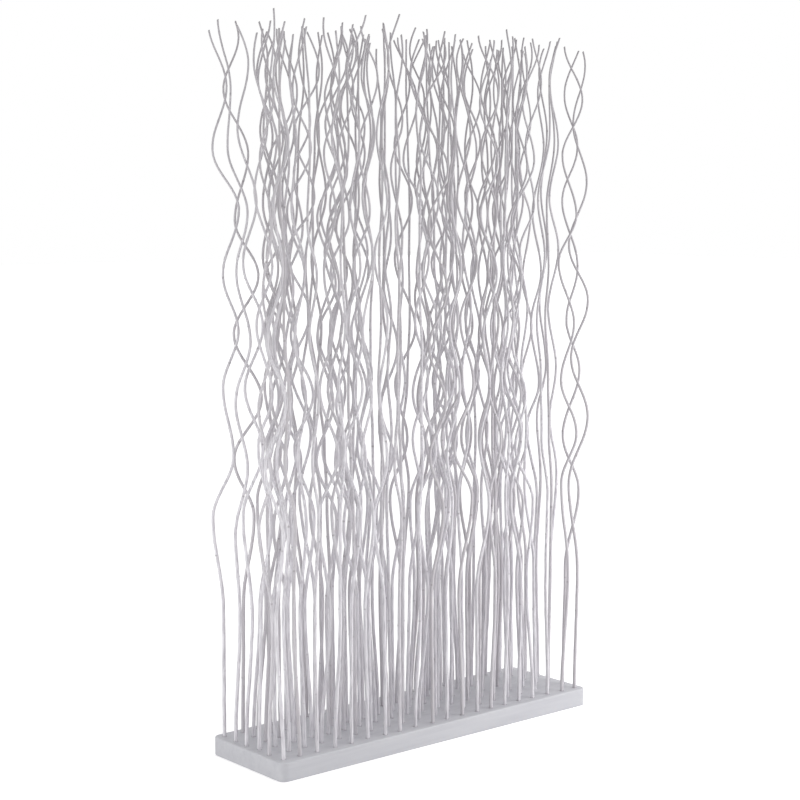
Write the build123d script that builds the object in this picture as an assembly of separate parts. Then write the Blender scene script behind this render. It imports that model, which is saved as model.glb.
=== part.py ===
# A free-standing screen: wavy willow rods stand in rows of drilled holes in one painted board.
# Millimetres. The origin is the centre of the board's underside, X runs along the board,
# Y across it and Z up. Rows count from the front, at -Y, and columns from the end at -X.
from build123d import *
from math import cos, hypot, inf, pi, radians, sin, tan
from random import Random
import os

os.makedirs("parts", exist_ok=True)

# The board
BOARD_LENGTH = 1045.0
BOARD_DEPTH = 300.0
BOARD_THICKNESS = 48.0
CORNER_RADIUS = 20.0
TOP_EASING = 4.0
UNDERSIDE_EASING = 2.0

# The holes, each drilled by hand a little off its place in the grid
COLUMNS = 20
ROWS = 6
END_MARGIN = 21.0
SIDE_MARGIN = 26.0
HOLE_WANDER = 4.0
WOOD_UNDER_HOLE = 14.0
GLUE_GAP = 1.0

# The rods. Their heights are measured from the board's top face.
SHANK_DIAMETER = 9.5
TIP_DIAMETER = 4.6
STRAIGHT_FOOT = 40.0
ROD_HEIGHT = 1755.0
HEIGHT_SPREAD = 14.0
TALL_ROD_EXTRA = 45.0
TALL_ROD = (8, 1)

# The waves, pressed in one jig, so that they lie at nearly the same heights in every rod. Below
# them each rod has a shallow belly. The spreads are what differs from rod to rod and bend to bend.
BELLY_HEIGHT = 330.0
BELLY_SWING = 7.0
BELLY_RANGE = (0.3, 1.6)
FIRST_BEND = 565.0
BEND_PITCH = 152.0
PITCH_SPREAD = 0.05
BEND_SHIFT = 20.0
BEND_WANDER = 16.0
SWING = 21.0
ROD_SWING_SPREAD = 0.15
BEND_SWING_SPREAD = 0.4
TWIST = radians(18)
DRIFT = 4.0
LEAN = 24.0
BEND_SHARE = 0.4

# The slow sways that neighbours share: their widths, and how far along its wave each is, in radians
# a column, a row and at the first rod. A sway is widest at mid height and none at the foot and tip.
SWAY = 26.0
SWAY_ALONG = (0.68, 0.35, -1.6)
SWAY_ACROSS = (0.45, -0.5, 5.6)
BOW_RISE = 1.4

# The bunches that the rods gather in, which lie side by side along one slanting line
BUNCH_WAY = radians(-40)
BUNCH_PITCH = 205.0
BUNCH_START = -335.0
BUNCH_PULL = 13.0
BUNCH_HEIGHT = 400.0

# Which way the first bend of an outermost rod points, by column and row
OUTER_BENDS = {
    (0, 5): radians(140),
    (0, 4): radians(140),
    (0, 3): radians(165),
    (19, 0): radians(140),
    (19, 1): radians(-40),
}

# How clear each rod stands of the rods set before it
ROD_CLEARANCE = 2.5
MOST_TRIES = 400
SIGHT_STEP = 10.0

# The seeds of the random numbers, one for each hole, and one for each try at each rod
SEEDS_A_COLUMN = 100
SEEDS_A_TRY = 10000

COLUMN_PITCH = (BOARD_LENGTH - 2 * END_MARGIN) / (COLUMNS - 1)
ROW_PITCH = (BOARD_DEPTH - 2 * SIDE_MARGIN) / (ROWS - 1)
SHANK_RADIUS = SHANK_DIAMETER / 2
TIP_RADIUS = TIP_DIAMETER / 2
HOLE_RADIUS = SHANK_RADIUS + GLUE_GAP
HOLE_DEPTH = BOARD_THICKNESS - WOOD_UNDER_HOLE
BENDS = 1 + round((ROD_HEIGHT - FIRST_BEND) / BEND_PITCH)


def hole_place(column, row):
    """Where a hole was drilled: its place in the grid, and the drill's wander."""
    chance = Random(SEEDS_A_COLUMN * column + row)
    x = COLUMN_PITCH * (column - (COLUMNS - 1) / 2) + chance.uniform(-HOLE_WANDER, HOLE_WANDER)
    y = ROW_PITCH * (row - (ROWS - 1) / 2) + chance.uniform(-HOLE_WANDER, HOLE_WANDER)
    return x, y


def shared_way(column, row, foot, height):
    """How far a rod is off its foot at a height by what it shares with its neighbours."""
    bow = sin(pi * min(height / ROD_HEIGHT, 1) ** BOW_RISE) ** 2
    sway_x, sway_y = (
        SWAY * bow * cos(a_column * column + a_row * row + start)
        for a_column, a_row, start in (SWAY_ALONG, SWAY_ACROSS)
    )
    place = foot[0] * cos(BUNCH_WAY) + foot[1] * sin(BUNCH_WAY) - BUNCH_START
    pull = -BUNCH_PULL * sin(2 * pi * place / BUNCH_PITCH) * min(height / BUNCH_HEIGHT, 1)
    return sway_x + pull * cos(BUNCH_WAY), sway_y + pull * sin(BUNCH_WAY)


class Rod:
    """One rod: its waves alternate in side about a line that leans, and sways with its neighbours."""

    def __init__(self, column, row, attempt):
        chance = Random(SEEDS_A_TRY * attempt + SEEDS_A_COLUMN * column + row)
        self.foot = hole_place(column, row)
        plane = chance.uniform(0, 2 * pi)
        if (column, row) in OUTER_BENDS:
            plane = OUTER_BENDS[column, row] + TWIST * chance.uniform(-1, 1)
        lean_way = chance.uniform(0, 2 * pi)
        lean = LEAN * chance.random() / ROD_HEIGHT
        strength = SWING * (1 + ROD_SWING_SPREAD * chance.uniform(-1, 1))
        shift = chance.gauss(0, BEND_SHIFT)
        pitch = BEND_PITCH * (1 + PITCH_SPREAD * chance.uniform(-1, 1))
        self.top = ROD_HEIGHT + chance.gauss(0, HEIGHT_SPREAD)
        self.peaks = [(*self.foot, 0.0)]
        drift_x = drift_y = 0.0
        for bend in range(-1, BENDS):
            if bend < 0:
                height = BELLY_HEIGHT
                swing = -BELLY_SWING * chance.uniform(*BELLY_RANGE)
            else:
                height = FIRST_BEND + shift + pitch * bend + chance.uniform(-BEND_WANDER, BEND_WANDER)
                swing = (-1) ** bend * strength * (1 + BEND_SWING_SPREAD * chance.uniform(-1, 1))
            plane += chance.uniform(-TWIST, TWIST)
            drift_x += chance.uniform(-DRIFT, DRIFT)
            drift_y += chance.uniform(-DRIFT, DRIFT)
            shared_x, shared_y = shared_way(column, row, self.foot, height)
            x = self.foot[0] + drift_x + swing * cos(plane) + lean * height * cos(lean_way) + shared_x
            y = self.foot[1] + drift_y + swing * sin(plane) + lean * height * sin(lean_way) + shared_y
            self.peaks.append((x, y, height))
        self.sight = [self.at(SIGHT_STEP * step) for step in range(int(ROD_HEIGHT / SIGHT_STEP))]

    def at(self, height):
        """The rod's centre at a height: it passes from each wave's peak to the next as a cosine."""
        below, above = self.peaks[-2:]
        for low, high in zip(self.peaks, self.peaks[1:]):
            if height < high[2]:
                below, above = low, high
                break
        share = (1 - cos(pi * (height - below[2]) / (above[2] - below[2]))) / 2
        return tuple(a + share * (b - a) for a, b in zip(below[:2], above[:2]))

    def gap(self, other):
        """The least clear width between two rods, seen at the same heights."""
        apart = (
            hypot(a[0] - b[0], a[1] - b[1]) for a, b in zip(self.sight, other.sight)
        )
        return min(apart) - SHANK_DIAMETER


def set_rods():
    """Sets the rods one by one, each turned and leant until it stands clear of those before it."""
    rods = {}
    reach = 2 * max(COLUMN_PITCH, ROW_PITCH) + 2 * HOLE_WANDER
    places = [(column, row) for column in range(COLUMNS) for row in range(ROWS)]
    for place in sorted(places, key=lambda place: place not in OUTER_BENDS):
        foot = hole_place(*place)
        near = [
            rod for rod in rods.values()
            if hypot(rod.foot[0] - foot[0], rod.foot[1] - foot[1]) < reach
        ]
        best, widest = None, -inf
        for attempt in range(MOST_TRIES):
            rod = Rod(*place, attempt)
            gap = min((rod.gap(other) for other in near), default=ROD_CLEARANCE)
            if gap > widest:
                best, widest = rod, gap
            if gap >= ROD_CLEARANCE:
                break
        rods[place] = best
    return rods


def rod_radius(height):
    """A rod tapers evenly from the top of its straight foot to its tip."""
    share = (height - STRAIGHT_FOOT) / (ROD_HEIGHT - STRAIGHT_FOOT)
    return SHANK_RADIUS + (TIP_RADIUS - SHANK_RADIUS) * min(max(share, 0), 1)


def rod_corners(rod):
    """The corners of the rod's path, which lie outside the peaks of its rounded waves."""
    beyond = BEND_SHARE / (1 - BEND_SHARE) / 2
    peaks = [Vector(*peak) for peak in rod.peaks]
    corners = [Vector(*rod.foot, -HOLE_DEPTH), Vector(*rod.foot, STRAIGHT_FOOT)]
    for before, peak, after in zip(peaks, peaks[1:], peaks[2:]):
        corners.append(peak + (peak - (before + after) * 0.5) * beyond)
        corners[-1].Z = peak.Z
    corners.append(Vector(*rod.at(rod.top), rod.top))
    return [corner + Vector(0, 0, BOARD_THICKNESS) for corner in corners]


def bend_radii(corners):
    """The radius of each bend, from the share of its shorter run that the bend takes up."""
    radii = []
    for before, corner, after in zip(corners, corners[1:], corners[2:]):
        runs = corner - before, after - corner
        turn = radians(runs[0].get_angle(runs[1]))
        radii.append(BEND_SHARE * min(run.length for run in runs) / tan(turn / 2))
    return radii


def make_rod(rod):
    """A rod as one closed solid: a cone along each straight run and a ring stretch round each bend.

    The seams of the stretches meet end to end, so each stretch joins the next along a whole circle.
    """
    corners = rod_corners(rod)
    path = FilletPolyline(*corners, radius=bend_radii(corners))
    stretches = path.edges()
    radii = [rod_radius((stretch @ 0.5).Z - BOARD_THICKNESS) for stretch in stretches]
    radii[0], radii[-1] = SHANK_RADIUS, TIP_RADIUS
    skins = []
    seam_side = Vector(1, 0, 0)
    for index, stretch in enumerate(stretches):
        section = Plane(origin=stretch @ 0, x_dir=seam_side, z_dir=stretch % 0)
        start = radii[max(index - 1, 0)]
        end = radii[min(index + 1, len(radii) - 1)]
        if stretch.geom_type == GeomType.CIRCLE:
            skins.append(sweep(section * Circle(radii[index]), path=stretch))
            turn_axis = Axis((0, 0, 0), (stretch % 0).cross(stretch % 1))
            seam_side = seam_side.rotate(turn_axis, (stretch % 0).get_angle(stretch % 1))
        elif start == end:
            skins.append(Solid.make_cylinder(start, stretch.length, section))
        else:
            skins.append(Solid.make_cone(start, end, stretch.length, section))
    faces = [face for skin in skins for face in skin.faces() if face.geom_type != GeomType.PLANE]
    faces.append(skins[0].faces().filter_by(GeomType.PLANE).sort_by(Axis.Z)[0])
    faces.append(skins[-1].faces().filter_by(GeomType.PLANE).sort_by(Axis.Z)[-1])
    return Solid(Shell(faces))


def make_board(rods):
    """The board, with rounded corners, eased edges and one blind hole for each rod."""
    outline = RectangleRounded(BOARD_LENGTH, BOARD_DEPTH, CORNER_RADIUS)
    board = extrude(outline, BOARD_THICKNESS)
    board = fillet(board.faces().sort_by(Axis.Z)[-1].edges(), TOP_EASING)
    board = fillet(board.faces().sort_by(Axis.Z)[0].edges(), UNDERSIDE_EASING)
    holes = [
        Pos(*rod.foot, WOOD_UNDER_HOLE) * Cylinder(
            HOLE_RADIUS, HOLE_DEPTH, align=(Align.CENTER, Align.CENTER, Align.MIN)
        )
        for rod in rods.values()
    ]
    return board - holes


rods = set_rods()
rods[TALL_ROD].top += TALL_ROD_EXTRA

export_step(make_board(rods).solid(), "parts/board.step")
for column in range(COLUMNS):
    for side, rows in (("front", range(ROWS // 2)), ("back", range(ROWS // 2, ROWS))):
        group = [make_rod(rods[column, row]) for row in rows]
        export_step(Compound(group), f"parts/rods_{column + 1:02d}_{side}.step")
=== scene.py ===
# A free-standing willow screen: rows of wavy willow rods in a long low board, all painted white.
# Metres and Z up, in the frame that the construction model gives. The rods are worked out in
# millimetres, as their maker measures them, and turned into metres where their meshes are made.
from math import cos, exp, hypot, inf, pi, radians, sin
from random import Random

import bpy
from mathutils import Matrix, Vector, noise


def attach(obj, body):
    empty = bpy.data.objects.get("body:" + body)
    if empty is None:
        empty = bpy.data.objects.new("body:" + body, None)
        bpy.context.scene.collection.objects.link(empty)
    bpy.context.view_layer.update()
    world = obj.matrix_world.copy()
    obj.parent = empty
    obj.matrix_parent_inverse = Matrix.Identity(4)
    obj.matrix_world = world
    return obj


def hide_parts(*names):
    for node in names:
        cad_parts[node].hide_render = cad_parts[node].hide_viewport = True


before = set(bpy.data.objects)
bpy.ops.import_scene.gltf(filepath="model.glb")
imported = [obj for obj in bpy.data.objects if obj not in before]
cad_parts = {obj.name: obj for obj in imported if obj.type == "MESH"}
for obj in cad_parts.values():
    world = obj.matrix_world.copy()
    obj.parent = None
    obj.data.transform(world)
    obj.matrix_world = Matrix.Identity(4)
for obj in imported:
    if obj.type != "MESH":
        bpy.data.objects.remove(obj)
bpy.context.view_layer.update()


# The camera stands at the photograph's place: a little above the screen's middle height, off its
# near left corner, and looks slightly down. It comes first, so that every piece is seen as shot.
CAMERA_PLACE = (-2.972, -3.499, 1.397)
CAMERA_PITCH = radians(6.475)
CAMERA_YAW = radians(40.08)
FOCAL_LENGTH = 80.03
SENSOR_WIDTH = 36.0

camera_data = bpy.data.cameras.new("camera")
camera_data.lens = FOCAL_LENGTH
camera_data.sensor_width = SENSOR_WIDTH
camera = bpy.data.objects.new("camera", camera_data)
camera.location = CAMERA_PLACE
camera.rotation_euler = (pi / 2 - CAMERA_PITCH, 0, -CAMERA_YAW)
bpy.context.scene.collection.objects.link(camera)
bpy.context.scene.camera = camera


# The board: a long planed plank with rounded corners and eased edges, drilled with a grid of blind
# holes and sprayed matt white in two coats. Its grain still shows faintly through the paint, and
# the holes, which lie within HOLES_REACH of its middle, are bare wood inside, darkened to painted
# shade.
BOARD_WHITE = (0.58, 0.58, 0.61, 1)
BOARD_GREY = (0.53, 0.53, 0.565, 1)
BOARD_ROUGHNESS = (0.52, 0.68)
GRAIN_STRETCH = (1.6, 26.0, 26.0)
GRAIN_SCALE = 3.0
GRAIN_TONES = (0.3, 0.62)
GRAIN_DEPTH = 0.0006
SPRAY_SCALE = 900.0
SPRAY_DEPTH = 0.0002
# Inside the holes: bare wood, darkened much further as painted shade
BARE_WOOD_AND_SHADE = (0.10, 0.085, 0.08, 1)
HOLES_REACH = (0.515, 0.14)
HOLES_TOP = 0.0477

board_paint = bpy.data.materials.new("board_paint")
board_paint.use_nodes = True
nodes, links = board_paint.node_tree.nodes, board_paint.node_tree.links
shader = nodes["Principled BSDF"]
place = nodes.new("ShaderNodeTexCoord")
stretch = nodes.new("ShaderNodeMapping")
stretch.inputs["Scale"].default_value = GRAIN_STRETCH
grain = nodes.new("ShaderNodeTexNoise")
grain.inputs["Scale"].default_value = GRAIN_SCALE
grain.inputs["Detail"].default_value = 6.0
spray = nodes.new("ShaderNodeTexNoise")
spray.inputs["Scale"].default_value = SPRAY_SCALE
tone = nodes.new("ShaderNodeValToRGB")
tone.color_ramp.elements[0].position = GRAIN_TONES[0]
tone.color_ramp.elements[0].color = BOARD_GREY
tone.color_ramp.elements[1].position = GRAIN_TONES[1]
tone.color_ramp.elements[1].color = BOARD_WHITE
sheen = nodes.new("ShaderNodeMapRange")
sheen.inputs["To Min"].default_value = BOARD_ROUGHNESS[0]
sheen.inputs["To Max"].default_value = BOARD_ROUGHNESS[1]
grain_relief = nodes.new("ShaderNodeBump")
grain_relief.inputs["Strength"].default_value = 0.25
grain_relief.inputs["Distance"].default_value = GRAIN_DEPTH
spray_relief = nodes.new("ShaderNodeBump")
spray_relief.inputs["Strength"].default_value = 0.2
spray_relief.inputs["Distance"].default_value = SPRAY_DEPTH
links.new(place.outputs["Object"], stretch.inputs["Vector"])
links.new(stretch.outputs["Vector"], grain.inputs["Vector"])
links.new(place.outputs["Object"], spray.inputs["Vector"])
links.new(grain.outputs["Fac"], tone.inputs["Fac"])
place_apart = nodes.new("ShaderNodeSeparateXYZ")
links.new(place.outputs["Object"], place_apart.inputs["Vector"])
in_hole = None
for axis, reach in (("X", HOLES_REACH[0]), ("Y", HOLES_REACH[1]), ("Z", HOLES_TOP)):
    off_middle = nodes.new("ShaderNodeMath")
    off_middle.operation = "ABSOLUTE"
    under = nodes.new("ShaderNodeMath")
    under.operation = "LESS_THAN"
    under.inputs[1].default_value = reach
    links.new(place_apart.outputs[axis], off_middle.inputs[0])
    links.new(off_middle.outputs["Value"], under.inputs[0])
    if in_hole is None:
        in_hole = under
    else:
        both = nodes.new("ShaderNodeMath")
        both.operation = "MULTIPLY"
        links.new(in_hole.outputs["Value"], both.inputs[0])
        links.new(under.outputs["Value"], both.inputs[1])
        in_hole = both
# The holes' insides take the bare wood colour, darkened to painted shade where the gaps lie in shadow
bare_and_shade = nodes.new("ShaderNodeMix")
bare_and_shade.data_type = "RGBA"
bare_and_shade.inputs["B"].default_value = BARE_WOOD_AND_SHADE
links.new(in_hole.outputs["Value"], bare_and_shade.inputs["Factor"])
links.new(tone.outputs["Color"], bare_and_shade.inputs["A"])
links.new(bare_and_shade.outputs["Result"], shader.inputs["Base Color"])
links.new(grain.outputs["Fac"], sheen.inputs["Value"])
links.new(sheen.outputs["Result"], shader.inputs["Roughness"])
links.new(grain.outputs["Fac"], grain_relief.inputs["Height"])
links.new(spray.outputs["Fac"], spray_relief.inputs["Height"])
links.new(grain_relief.outputs["Normal"], spray_relief.inputs["Normal"])
links.new(spray_relief.outputs["Normal"], shader.inputs["Normal"])

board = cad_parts["board"]
board.data.materials.clear()
board.data.materials.append(board_paint)


# The rods: peeled willow whips, pressed into waves in one jig, turned by chance in their holes and
# glued, then sprayed thin matt white. Their lines follow the construction's own rules, which start
# with the board's sizes and its holes, each drilled by hand a little off its place in the grid.
BOARD_LENGTH = 1045.0
BOARD_DEPTH = 300.0
BOARD_THICKNESS = 48.0
COLUMNS = 20
ROWS = 6
END_MARGIN = 21.0
SIDE_MARGIN = 26.0
HOLE_WANDER = 4.0
WOOD_UNDER_HOLE = 14.0

# The rods' own sizes. Heights are measured from the board's top face.
SHANK_DIAMETER = 9.5
TIP_DIAMETER = 4.6
STRAIGHT_FOOT = 40.0
ROD_HEIGHT = 1755.0
HEIGHT_SPREAD = 14.0
TALL_ROD_EXTRA = 45.0
TALL_ROD = (8, 1)

# The waves, pressed in one jig, so that they lie at nearly the same heights in every rod. Below
# them each rod has a shallow belly. The spreads are what differs from rod to rod and bend to bend.
BELLY_HEIGHT = 330.0
BELLY_SWING = 7.0
BELLY_RANGE = (0.3, 1.6)
FIRST_BEND = 565.0
BEND_PITCH = 152.0
PITCH_SPREAD = 0.05
BEND_SHIFT = 20.0
BEND_WANDER = 16.0
SWING = 21.0
ROD_SWING_SPREAD = 0.15
BEND_SWING_SPREAD = 0.4
TWIST = radians(18)
DRIFT = 4.0
LEAN = 24.0

# The slow sways that neighbours share: their widths, and how far along its wave each is, in radians
# a column, a row and at the first rod. A sway is widest at mid height and none at the foot and tip.
SWAY = 26.0
SWAY_ALONG = (0.68, 0.35, -1.6)
SWAY_ACROSS = (0.45, -0.5, 5.6)
BOW_RISE = 1.4

# The bunches that the rods gather in, which lie side by side along one slanting line
BUNCH_WAY = radians(-40)
BUNCH_PITCH = 205.0
BUNCH_START = -335.0
BUNCH_PULL = 13.0
BUNCH_HEIGHT = 400.0

# Which way the first bend of an outermost rod points, by column and row
OUTER_BENDS = {
    (0, 5): radians(140),
    (0, 4): radians(140),
    (0, 3): radians(165),
    (19, 0): radians(140),
    (19, 1): radians(-40),
}

# How clear each rod stands of the rods set before it
ROD_CLEARANCE = 2.5
MOST_TRIES = 400
SIGHT_STEP = 10.0

# The seeds of the random numbers, one for each hole, and one for each try at each rod
SEEDS_A_COLUMN = 100
SEEDS_A_TRY = 10000

COLUMN_PITCH = (BOARD_LENGTH - 2 * END_MARGIN) / (COLUMNS - 1)
ROW_PITCH = (BOARD_DEPTH - 2 * SIDE_MARGIN) / (ROWS - 1)
SHANK_RADIUS = SHANK_DIAMETER / 2
TIP_RADIUS = TIP_DIAMETER / 2
HOLE_DEPTH = BOARD_THICKNESS - WOOD_UNDER_HOLE
BENDS = 1 + round((ROD_HEIGHT - FIRST_BEND) / BEND_PITCH)


def hole_place(column, row):
    """Where a hole was drilled: its place in the grid, and the drill's wander."""
    chance = Random(SEEDS_A_COLUMN * column + row)
    x = COLUMN_PITCH * (column - (COLUMNS - 1) / 2) + chance.uniform(-HOLE_WANDER, HOLE_WANDER)
    y = ROW_PITCH * (row - (ROWS - 1) / 2) + chance.uniform(-HOLE_WANDER, HOLE_WANDER)
    return x, y


def shared_way(column, row, foot, height):
    """How far a rod is off its foot at a height by what it shares with its neighbours."""
    bow = sin(pi * min(height / ROD_HEIGHT, 1) ** BOW_RISE) ** 2
    sway_x, sway_y = (
        SWAY * bow * cos(a_column * column + a_row * row + start)
        for a_column, a_row, start in (SWAY_ALONG, SWAY_ACROSS)
    )
    place = foot[0] * cos(BUNCH_WAY) + foot[1] * sin(BUNCH_WAY) - BUNCH_START
    pull = -BUNCH_PULL * sin(2 * pi * place / BUNCH_PITCH) * min(height / BUNCH_HEIGHT, 1)
    return sway_x + pull * cos(BUNCH_WAY), sway_y + pull * sin(BUNCH_WAY)


class Rod:
    """One rod: its waves alternate in side about a line that leans, and sways with its neighbours."""

    def __init__(self, column, row, attempt):
        chance = Random(SEEDS_A_TRY * attempt + SEEDS_A_COLUMN * column + row)
        self.foot = hole_place(column, row)
        plane = chance.uniform(0, 2 * pi)
        if (column, row) in OUTER_BENDS:
            plane = OUTER_BENDS[column, row] + TWIST * chance.uniform(-1, 1)
        lean_way = chance.uniform(0, 2 * pi)
        lean = LEAN * chance.random() / ROD_HEIGHT
        strength = SWING * (1 + ROD_SWING_SPREAD * chance.uniform(-1, 1))
        shift = chance.gauss(0, BEND_SHIFT)
        pitch = BEND_PITCH * (1 + PITCH_SPREAD * chance.uniform(-1, 1))
        self.top = ROD_HEIGHT + chance.gauss(0, HEIGHT_SPREAD)
        self.peaks = [(*self.foot, 0.0)]
        drift_x = drift_y = 0.0
        for bend in range(-1, BENDS):
            if bend < 0:
                height = BELLY_HEIGHT
                swing = -BELLY_SWING * chance.uniform(*BELLY_RANGE)
            else:
                height = FIRST_BEND + shift + pitch * bend + chance.uniform(-BEND_WANDER, BEND_WANDER)
                swing = (-1) ** bend * strength * (1 + BEND_SWING_SPREAD * chance.uniform(-1, 1))
            plane += chance.uniform(-TWIST, TWIST)
            drift_x += chance.uniform(-DRIFT, DRIFT)
            drift_y += chance.uniform(-DRIFT, DRIFT)
            shared_x, shared_y = shared_way(column, row, self.foot, height)
            x = self.foot[0] + drift_x + swing * cos(plane) + lean * height * cos(lean_way) + shared_x
            y = self.foot[1] + drift_y + swing * sin(plane) + lean * height * sin(lean_way) + shared_y
            self.peaks.append((x, y, height))
        self.sight = [self.at(SIGHT_STEP * step) for step in range(int(ROD_HEIGHT / SIGHT_STEP))]

    def at(self, height):
        """The rod's centre at a height: it passes from each wave's peak to the next as a cosine."""
        below, above = self.peaks[-2:]
        for low, high in zip(self.peaks, self.peaks[1:]):
            if height < high[2]:
                below, above = low, high
                break
        share = (1 - cos(pi * (height - below[2]) / (above[2] - below[2]))) / 2
        return tuple(a + share * (b - a) for a, b in zip(below[:2], above[:2]))

    def gap(self, other):
        """The least clear width between two rods, seen at the same heights."""
        apart = (hypot(a[0] - b[0], a[1] - b[1]) for a, b in zip(self.sight, other.sight))
        return min(apart) - SHANK_DIAMETER


def set_rods():
    """Sets the rods one by one, each turned and leant until it stands clear of those before it."""
    rods = {}
    reach = 2 * max(COLUMN_PITCH, ROW_PITCH) + 2 * HOLE_WANDER
    places = [(column, row) for column in range(COLUMNS) for row in range(ROWS)]
    for place in sorted(places, key=lambda place: place not in OUTER_BENDS):
        foot = hole_place(*place)
        near = [
            rod for rod in rods.values()
            if hypot(rod.foot[0] - foot[0], rod.foot[1] - foot[1]) < reach
        ]
        best, widest = None, -inf
        for attempt in range(MOST_TRIES):
            rod = Rod(*place, attempt)
            gap = min((rod.gap(other) for other in near), default=ROD_CLEARANCE)
            if gap > widest:
                best, widest = rod, gap
            if gap >= ROD_CLEARANCE:
                break
        rods[place] = best
    return rods


def rod_radius(height):
    """A rod tapers evenly from the top of its straight foot to its tip."""
    share = (height - STRAIGHT_FOOT) / (ROD_HEIGHT - STRAIGHT_FOOT)
    return SHANK_RADIUS + (TIP_RADIUS - SHANK_RADIUS) * min(max(share, 0), 1)


# A whip's own marks: slight swellings and kinks, and buds every few centimetres, set round it in
# turn. A bud is a small stained knot, lower and paler on its far side, and paler low on the rod.
RING_STEP = 13.0
RING_SIDES = 12
BUD_GAPS = (70.0, 230.0)
BUD_HEIGHTS = (0.2, 0.7)
BUD_LENGTH = 3.0
BUD_RING_STEPS = (-5.0, -2.4, 0.0, 2.4, 5.0)
BUD_REACH = 4 * BUD_LENGTH
BUD_TURN = radians(144)
BUD_TURN_WANDER = 0.4
BUD_BEHIND = 0.25
STAIN_BEHIND = 0.2
STAIN_LOW_DOWN = 0.4
SWELLING = 0.05
SWELLING_LENGTH = 30.0
SWELLING_APART = 5
KINK = 0.7
KINK_LENGTH = 46.0
KINK_APART = (50.5, 3.7, 0.4)
ROD_APART = (7.3, 1.9)

# The tip's slanting cut, its eased edge and its stain, and how many metres a millimetre is
TIP_SLANT = 1.1
TIP_EASING = 0.5
TIP_STAIN = 0.5
MILLIMETRE = 0.001


def rod_buds(chance, top):
    """The buds of a rod, as (height, way they face, how far they stand out)."""
    buds = []
    height = chance.uniform(*BUD_GAPS)
    way = chance.uniform(0, 2 * pi)
    while height < top - RING_STEP:
        buds.append((height, way, chance.uniform(*BUD_HEIGHTS)))
        height += chance.uniform(*BUD_GAPS)
        way += BUD_TURN + chance.uniform(-BUD_TURN_WANDER, BUD_TURN_WANDER)
    return buds


def add_rod(rod, number, vertices, faces, marks):
    """Adds one rod's skin: rings of vertices from the hole's floor to the cut tip, and both ends."""
    chance = Random(number)
    buds = rod_buds(chance, rod.top)
    tone = chance.random()
    steps = int(rod.top / RING_STEP)
    heights = [-HOLE_DEPTH, -HOLE_DEPTH / 2] + [rod.top * step / steps for step in range(steps + 1)]
    heights += [bud[0] + step for bud in buds for step in BUD_RING_STEPS]
    heights = sorted(height for height in heights if height <= rod.top)
    own_noise = Vector((number * ROD_APART[0], number * ROD_APART[1], 0))
    first = len(vertices)

    def centre(height):
        x, y = rod.at(max(height, 0))
        noise_place = own_noise + Vector((0, 0, height / KINK_LENGTH))
        share = KINK * min(max(height / STRAIGHT_FOOT, 0), 1)
        x += share * noise.noise(noise_place)
        y += share * noise.noise(noise_place + Vector(KINK_APART))
        return Vector((x, y, height))

    slant = chance.uniform(0, 2 * pi)
    for height in heights:
        along = (centre(height + 1) - centre(height - 1)).normalized()
        side = Vector((1, 0, 0)) - along * along.x
        side.normalize()
        across = along.cross(side)
        noise_place = own_noise + Vector((SWELLING_APART, 0, height / SWELLING_LENGTH))
        swell = noise.noise(noise_place) * SWELLING * (height > 0)
        for corner in range(RING_SIDES):
            turn = 2 * pi * corner / RING_SIDES
            radius = rod_radius(height) * (1 + swell)
            knot = 0.0
            for bud_height, way, stands in buds:
                if abs(height - bud_height) < BUD_REACH:
                    rise = exp(-((height - bud_height) / BUD_LENGTH) ** 2)
                    facing = max(cos(turn - way), 0) ** 2
                    radius += stands * rise * (BUD_BEHIND + (1 - BUD_BEHIND) * facing)
                    knot = max(knot, rise * (STAIN_BEHIND + (1 - STAIN_BEHIND) * facing))
            spot = centre(height) + (side * cos(turn) + across * sin(turn)) * radius
            if height == rod.top:
                spot += along * TIP_SLANT * cos(turn - slant)
            spot.z += BOARD_THICKNESS
            vertices.append(spot * MILLIMETRE)
            knot *= STAIN_LOW_DOWN + (1 - STAIN_LOW_DOWN) * min(max(height / FIRST_BEND, 0), 1)
            # The second mark, the height share, drives the painted shade towards the tip
            marks.append((knot, height / ROD_HEIGHT, tone, 1))
    rings = len(heights)
    for ring in range(rings - 1):
        for corner in range(RING_SIDES):
            a = first + ring * RING_SIDES + corner
            b = first + ring * RING_SIDES + (corner + 1) % RING_SIDES
            faces.append((a, b, b + RING_SIDES, a + RING_SIDES))
    top_ring = first + (rings - 1) * RING_SIDES
    cut = [top_ring + corner for corner in range(RING_SIDES)]
    middle = sum((vertices[v] for v in cut), Vector()) / RING_SIDES
    inner = len(vertices)
    for v in cut:
        inward = (middle - vertices[v]) * (TIP_EASING / TIP_RADIUS)
        vertices.append(vertices[v] + inward + Vector((0, 0, TIP_EASING / 2 * MILLIMETRE)))
        marks.append((TIP_STAIN, 1.0, tone, 1))
    for corner in range(RING_SIDES):
        after = (corner + 1) % RING_SIDES
        faces.append((cut[corner], cut[after], inner + after, inner + corner))
    faces.append(tuple(inner + corner for corner in range(RING_SIDES)))
    faces.append(tuple(first + corner for corner in reversed(range(RING_SIDES))))


# The rods' paint: thin matt white that leaves fine streaks along the wood, greyer over the buds, and
# greyer towards the tips as painted shade, for the dimmer light high up. Some rods took the paint
# less well than others.
ROD_WHITE = (0.84, 0.825, 0.86, 1)
ROD_GREY = (0.56, 0.54, 0.58, 1)
ROD_DULL = (0.52, 0.495, 0.52, 1)
BUD_DARK = (0.16, 0.14, 0.145, 1)
# The grey the rods are painted towards their tips, as painted shade for the dimmer light high up
TIP_PAINTED_SHADE = (0.42, 0.40, 0.42, 1)
ROD_ROUGHNESS = (0.5, 0.75)
STREAK_STRETCH = (420.0, 420.0, 22.0)
STREAK_TONES = (0.34, 0.60)
STREAK_DEPTH = 0.0004
DULL_FROM, DULL_MOST = 0.25, 0.75
SHADE_FROM, SHADE_TO, SHADE_MOST = 0.35, 1.05, 0.75
STAIN_FROM, STAIN_MOST = 0.25, 0.6

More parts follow.
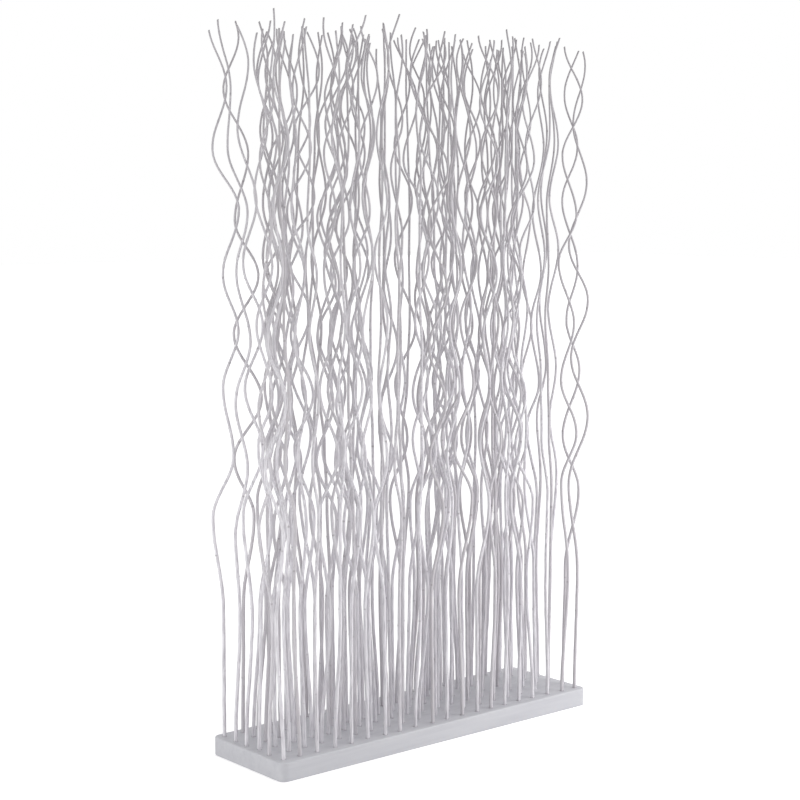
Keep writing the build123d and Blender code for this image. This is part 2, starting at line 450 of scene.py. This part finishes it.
rod_paint = bpy.data.materials.new("rod_paint")
rod_paint.use_nodes = True
nodes, links = rod_paint.node_tree.nodes, rod_paint.node_tree.links
shader = nodes["Principled BSDF"]
place = nodes.new("ShaderNodeTexCoord")
stretch = nodes.new("ShaderNodeMapping")
stretch.inputs["Scale"].default_value = STREAK_STRETCH
streaks = nodes.new("ShaderNodeTexNoise")
streaks.inputs["Scale"].default_value = 1.0
streaks.inputs["Detail"].default_value = 4.0
paint_tone = nodes.new("ShaderNodeValToRGB")
paint_tone.color_ramp.elements[0].position = STREAK_TONES[0]
paint_tone.color_ramp.elements[0].color = ROD_GREY
paint_tone.color_ramp.elements[1].position = STREAK_TONES[1]
paint_tone.color_ramp.elements[1].color = ROD_WHITE
marks_in = nodes.new("ShaderNodeAttribute")
marks_in.attribute_name = "marks"
marks_apart = nodes.new("ShaderNodeSeparateColor")
links.new(marks_in.outputs["Color"], marks_apart.inputs["Color"])
dull = nodes.new("ShaderNodeMix")
dull.data_type = "RGBA"
dull.inputs["B"].default_value = ROD_DULL
tone_share = nodes.new("ShaderNodeMapRange")
tone_share.inputs["From Min"].default_value = DULL_FROM
tone_share.inputs["To Max"].default_value = DULL_MOST
# Painted shade: the paint greys with height, from a third of the way up towards the tip
shade_share = nodes.new("ShaderNodeMapRange")
shade_share.inputs["From Min"].default_value = SHADE_FROM
shade_share.inputs["From Max"].default_value = SHADE_TO
shade_share.inputs["To Max"].default_value = SHADE_MOST
painted_shade = nodes.new("ShaderNodeMix")
painted_shade.data_type = "RGBA"
painted_shade.inputs["B"].default_value = TIP_PAINTED_SHADE
bud_share = nodes.new("ShaderNodeMapRange")
bud_share.inputs["From Min"].default_value = STAIN_FROM
bud_share.inputs["To Max"].default_value = STAIN_MOST
bud_stain = nodes.new("ShaderNodeMix")
bud_stain.data_type = "RGBA"
bud_stain.inputs["B"].default_value = BUD_DARK
sheen = nodes.new("ShaderNodeMapRange")
sheen.inputs["To Min"].default_value = ROD_ROUGHNESS[0]
sheen.inputs["To Max"].default_value = ROD_ROUGHNESS[1]
relief = nodes.new("ShaderNodeBump")
relief.inputs["Strength"].default_value = 0.5
relief.inputs["Distance"].default_value = STREAK_DEPTH
links.new(place.outputs["Object"], stretch.inputs["Vector"])
links.new(stretch.outputs["Vector"], streaks.inputs["Vector"])
links.new(streaks.outputs["Fac"], paint_tone.inputs["Fac"])
links.new(marks_apart.outputs["Blue"], tone_share.inputs["Value"])
links.new(tone_share.outputs["Result"], dull.inputs["Factor"])
links.new(paint_tone.outputs["Color"], dull.inputs["A"])
links.new(marks_apart.outputs["Green"], shade_share.inputs["Value"])
links.new(shade_share.outputs["Result"], painted_shade.inputs["Factor"])
links.new(dull.outputs["Result"], painted_shade.inputs["A"])
links.new(marks_apart.outputs["Red"], bud_share.inputs["Value"])
links.new(bud_share.outputs["Result"], bud_stain.inputs["Factor"])
links.new(painted_shade.outputs["Result"], bud_stain.inputs["A"])
links.new(bud_stain.outputs["Result"], shader.inputs["Base Color"])
links.new(streaks.outputs["Fac"], sheen.inputs["Value"])
links.new(sheen.outputs["Result"], shader.inputs["Roughness"])
links.new(streaks.outputs["Fac"], relief.inputs["Height"])
links.new(relief.outputs["Normal"], shader.inputs["Normal"])

rods = set_rods()
rods[TALL_ROD].top += TALL_ROD_EXTRA
for column in range(COLUMNS):
    for half, rows in (("front", range(ROWS // 2)), ("back", range(ROWS // 2, ROWS))):
        vertices, faces, marks = [], [], []
        for row in rows:
            add_rod(rods[column, row], ROWS * column + row, vertices, faces, marks)
        mesh = bpy.data.meshes.new(f"willow_{column + 1:02d}_{half}")
        mesh.from_pydata(vertices, [], faces)
        mesh.shade_smooth()
        layer = mesh.color_attributes.new("marks", "FLOAT_COLOR", "POINT")
        layer.data.foreach_set("color", [value for mark in marks for value in mark])
        mesh.materials.append(rod_paint)
        group = bpy.data.objects.new(mesh.name, mesh)
        bpy.context.scene.collection.objects.link(group)
        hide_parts(f"rods_{column + 1:02d}_{half}")
        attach(group, "root")


# The studio: a white floor and a white surround, brighter at the right, that the camera sees as
# plain white. One soft lamp stands low and near at the right in front, so the rods' thin shadows
# point away from it, and a wide lamp lights the board's left end.
FLOOR_WHITE = (0.93, 0.93, 0.93, 1)
FLOOR_ROUGHNESS = 0.8
FLOOR_REACH = 30.0
FLOOR_LIFT = 0.42
BRIGHT_WAY = (0.85, 0.0, -0.2)
BRIGHT_LIGHT = 1.4
DARK_LIGHT = 0.3
KEY_PLACE = (1.55, -1.65, 0.85)
KEY_AIM = (0.2, 0.0, 0.4)
KEY_SIZE = 0.6
KEY_POWER = 18.0
FILL_PLACE = (-2.7, 0.1, 0.5)
FILL_AIM = (-0.5, 0.0, 0.1)
FILL_SIZE = 1.2
FILL_POWER = 18.0

bpy.ops.mesh.primitive_plane_add(size=FLOOR_REACH * 2)
floor = bpy.context.object
floor.name = "floor"
floor_paint = bpy.data.materials.new("floor_paint")
floor_paint.use_nodes = True
nodes, links = floor_paint.node_tree.nodes, floor_paint.node_tree.links
shader = nodes["Principled BSDF"]
shader.inputs["Base Color"].default_value = FLOOR_WHITE
shader.inputs["Roughness"].default_value = FLOOR_ROUGHNESS
shader.inputs["Emission Color"].default_value = (1, 1, 1, 1)
rays = nodes.new("ShaderNodeLightPath")
lift = nodes.new("ShaderNodeMath")
lift.operation = "MULTIPLY"
lift.inputs[1].default_value = FLOOR_LIFT
links.new(rays.outputs["Is Camera Ray"], lift.inputs[0])
links.new(lift.outputs["Value"], shader.inputs["Emission Strength"])
floor.data.materials.append(floor_paint)

world = bpy.data.worlds.new("surround")
bpy.context.scene.world = world
world.use_nodes = True
nodes, links = world.node_tree.nodes, world.node_tree.links
sky = nodes["Background"]
sky.inputs["Color"].default_value = (1, 1, 1, 1)
rays = nodes.new("ShaderNodeLightPath")
mirrored = nodes.new("ShaderNodeMath")
mirrored.operation = "MAXIMUM"
seen = nodes.new("ShaderNodeMath")
seen.operation = "MAXIMUM"
way = nodes.new("ShaderNodeTexCoord")
towards = nodes.new("ShaderNodeVectorMath")
towards.operation = "DOT_PRODUCT"
towards.inputs[1].default_value = BRIGHT_WAY
side_light = nodes.new("ShaderNodeMapRange")
side_light.inputs["From Min"].default_value = -1.0
side_light.inputs["To Min"].default_value = DARK_LIGHT
side_light.inputs["To Max"].default_value = BRIGHT_LIGHT
strength = nodes.new("ShaderNodeMix")
strength.inputs["B"].default_value = 1.0
links.new(rays.outputs["Is Glossy Ray"], mirrored.inputs[0])
links.new(rays.outputs["Is Transmission Ray"], mirrored.inputs[1])
links.new(rays.outputs["Is Camera Ray"], seen.inputs[0])
links.new(mirrored.outputs["Value"], seen.inputs[1])
links.new(way.outputs["Generated"], towards.inputs[0])
links.new(towards.outputs["Value"], side_light.inputs["Value"])
links.new(side_light.outputs["Result"], strength.inputs["A"])
links.new(seen.outputs["Value"], strength.inputs["Factor"])
links.new(strength.outputs["Result"], sky.inputs["Strength"])

for name, place, aim, size, power in (
    ("key", KEY_PLACE, KEY_AIM, KEY_SIZE, KEY_POWER),
    ("fill", FILL_PLACE, FILL_AIM, FILL_SIZE, FILL_POWER),
):
    lamp_data = bpy.data.lights.new(name, "AREA")
    lamp_data.shape = "DISK"
    lamp_data.size = size
    lamp_data.energy = power
    lamp = bpy.data.objects.new(name, lamp_data)
    lamp.location = place
    lamp.rotation_euler = (Vector(aim) - Vector(place)).to_track_quat("-Z", "Y").to_euler()
    bpy.context.scene.collection.objects.link(lamp)

bpy.context.scene.view_settings.view_transform = "Standard"
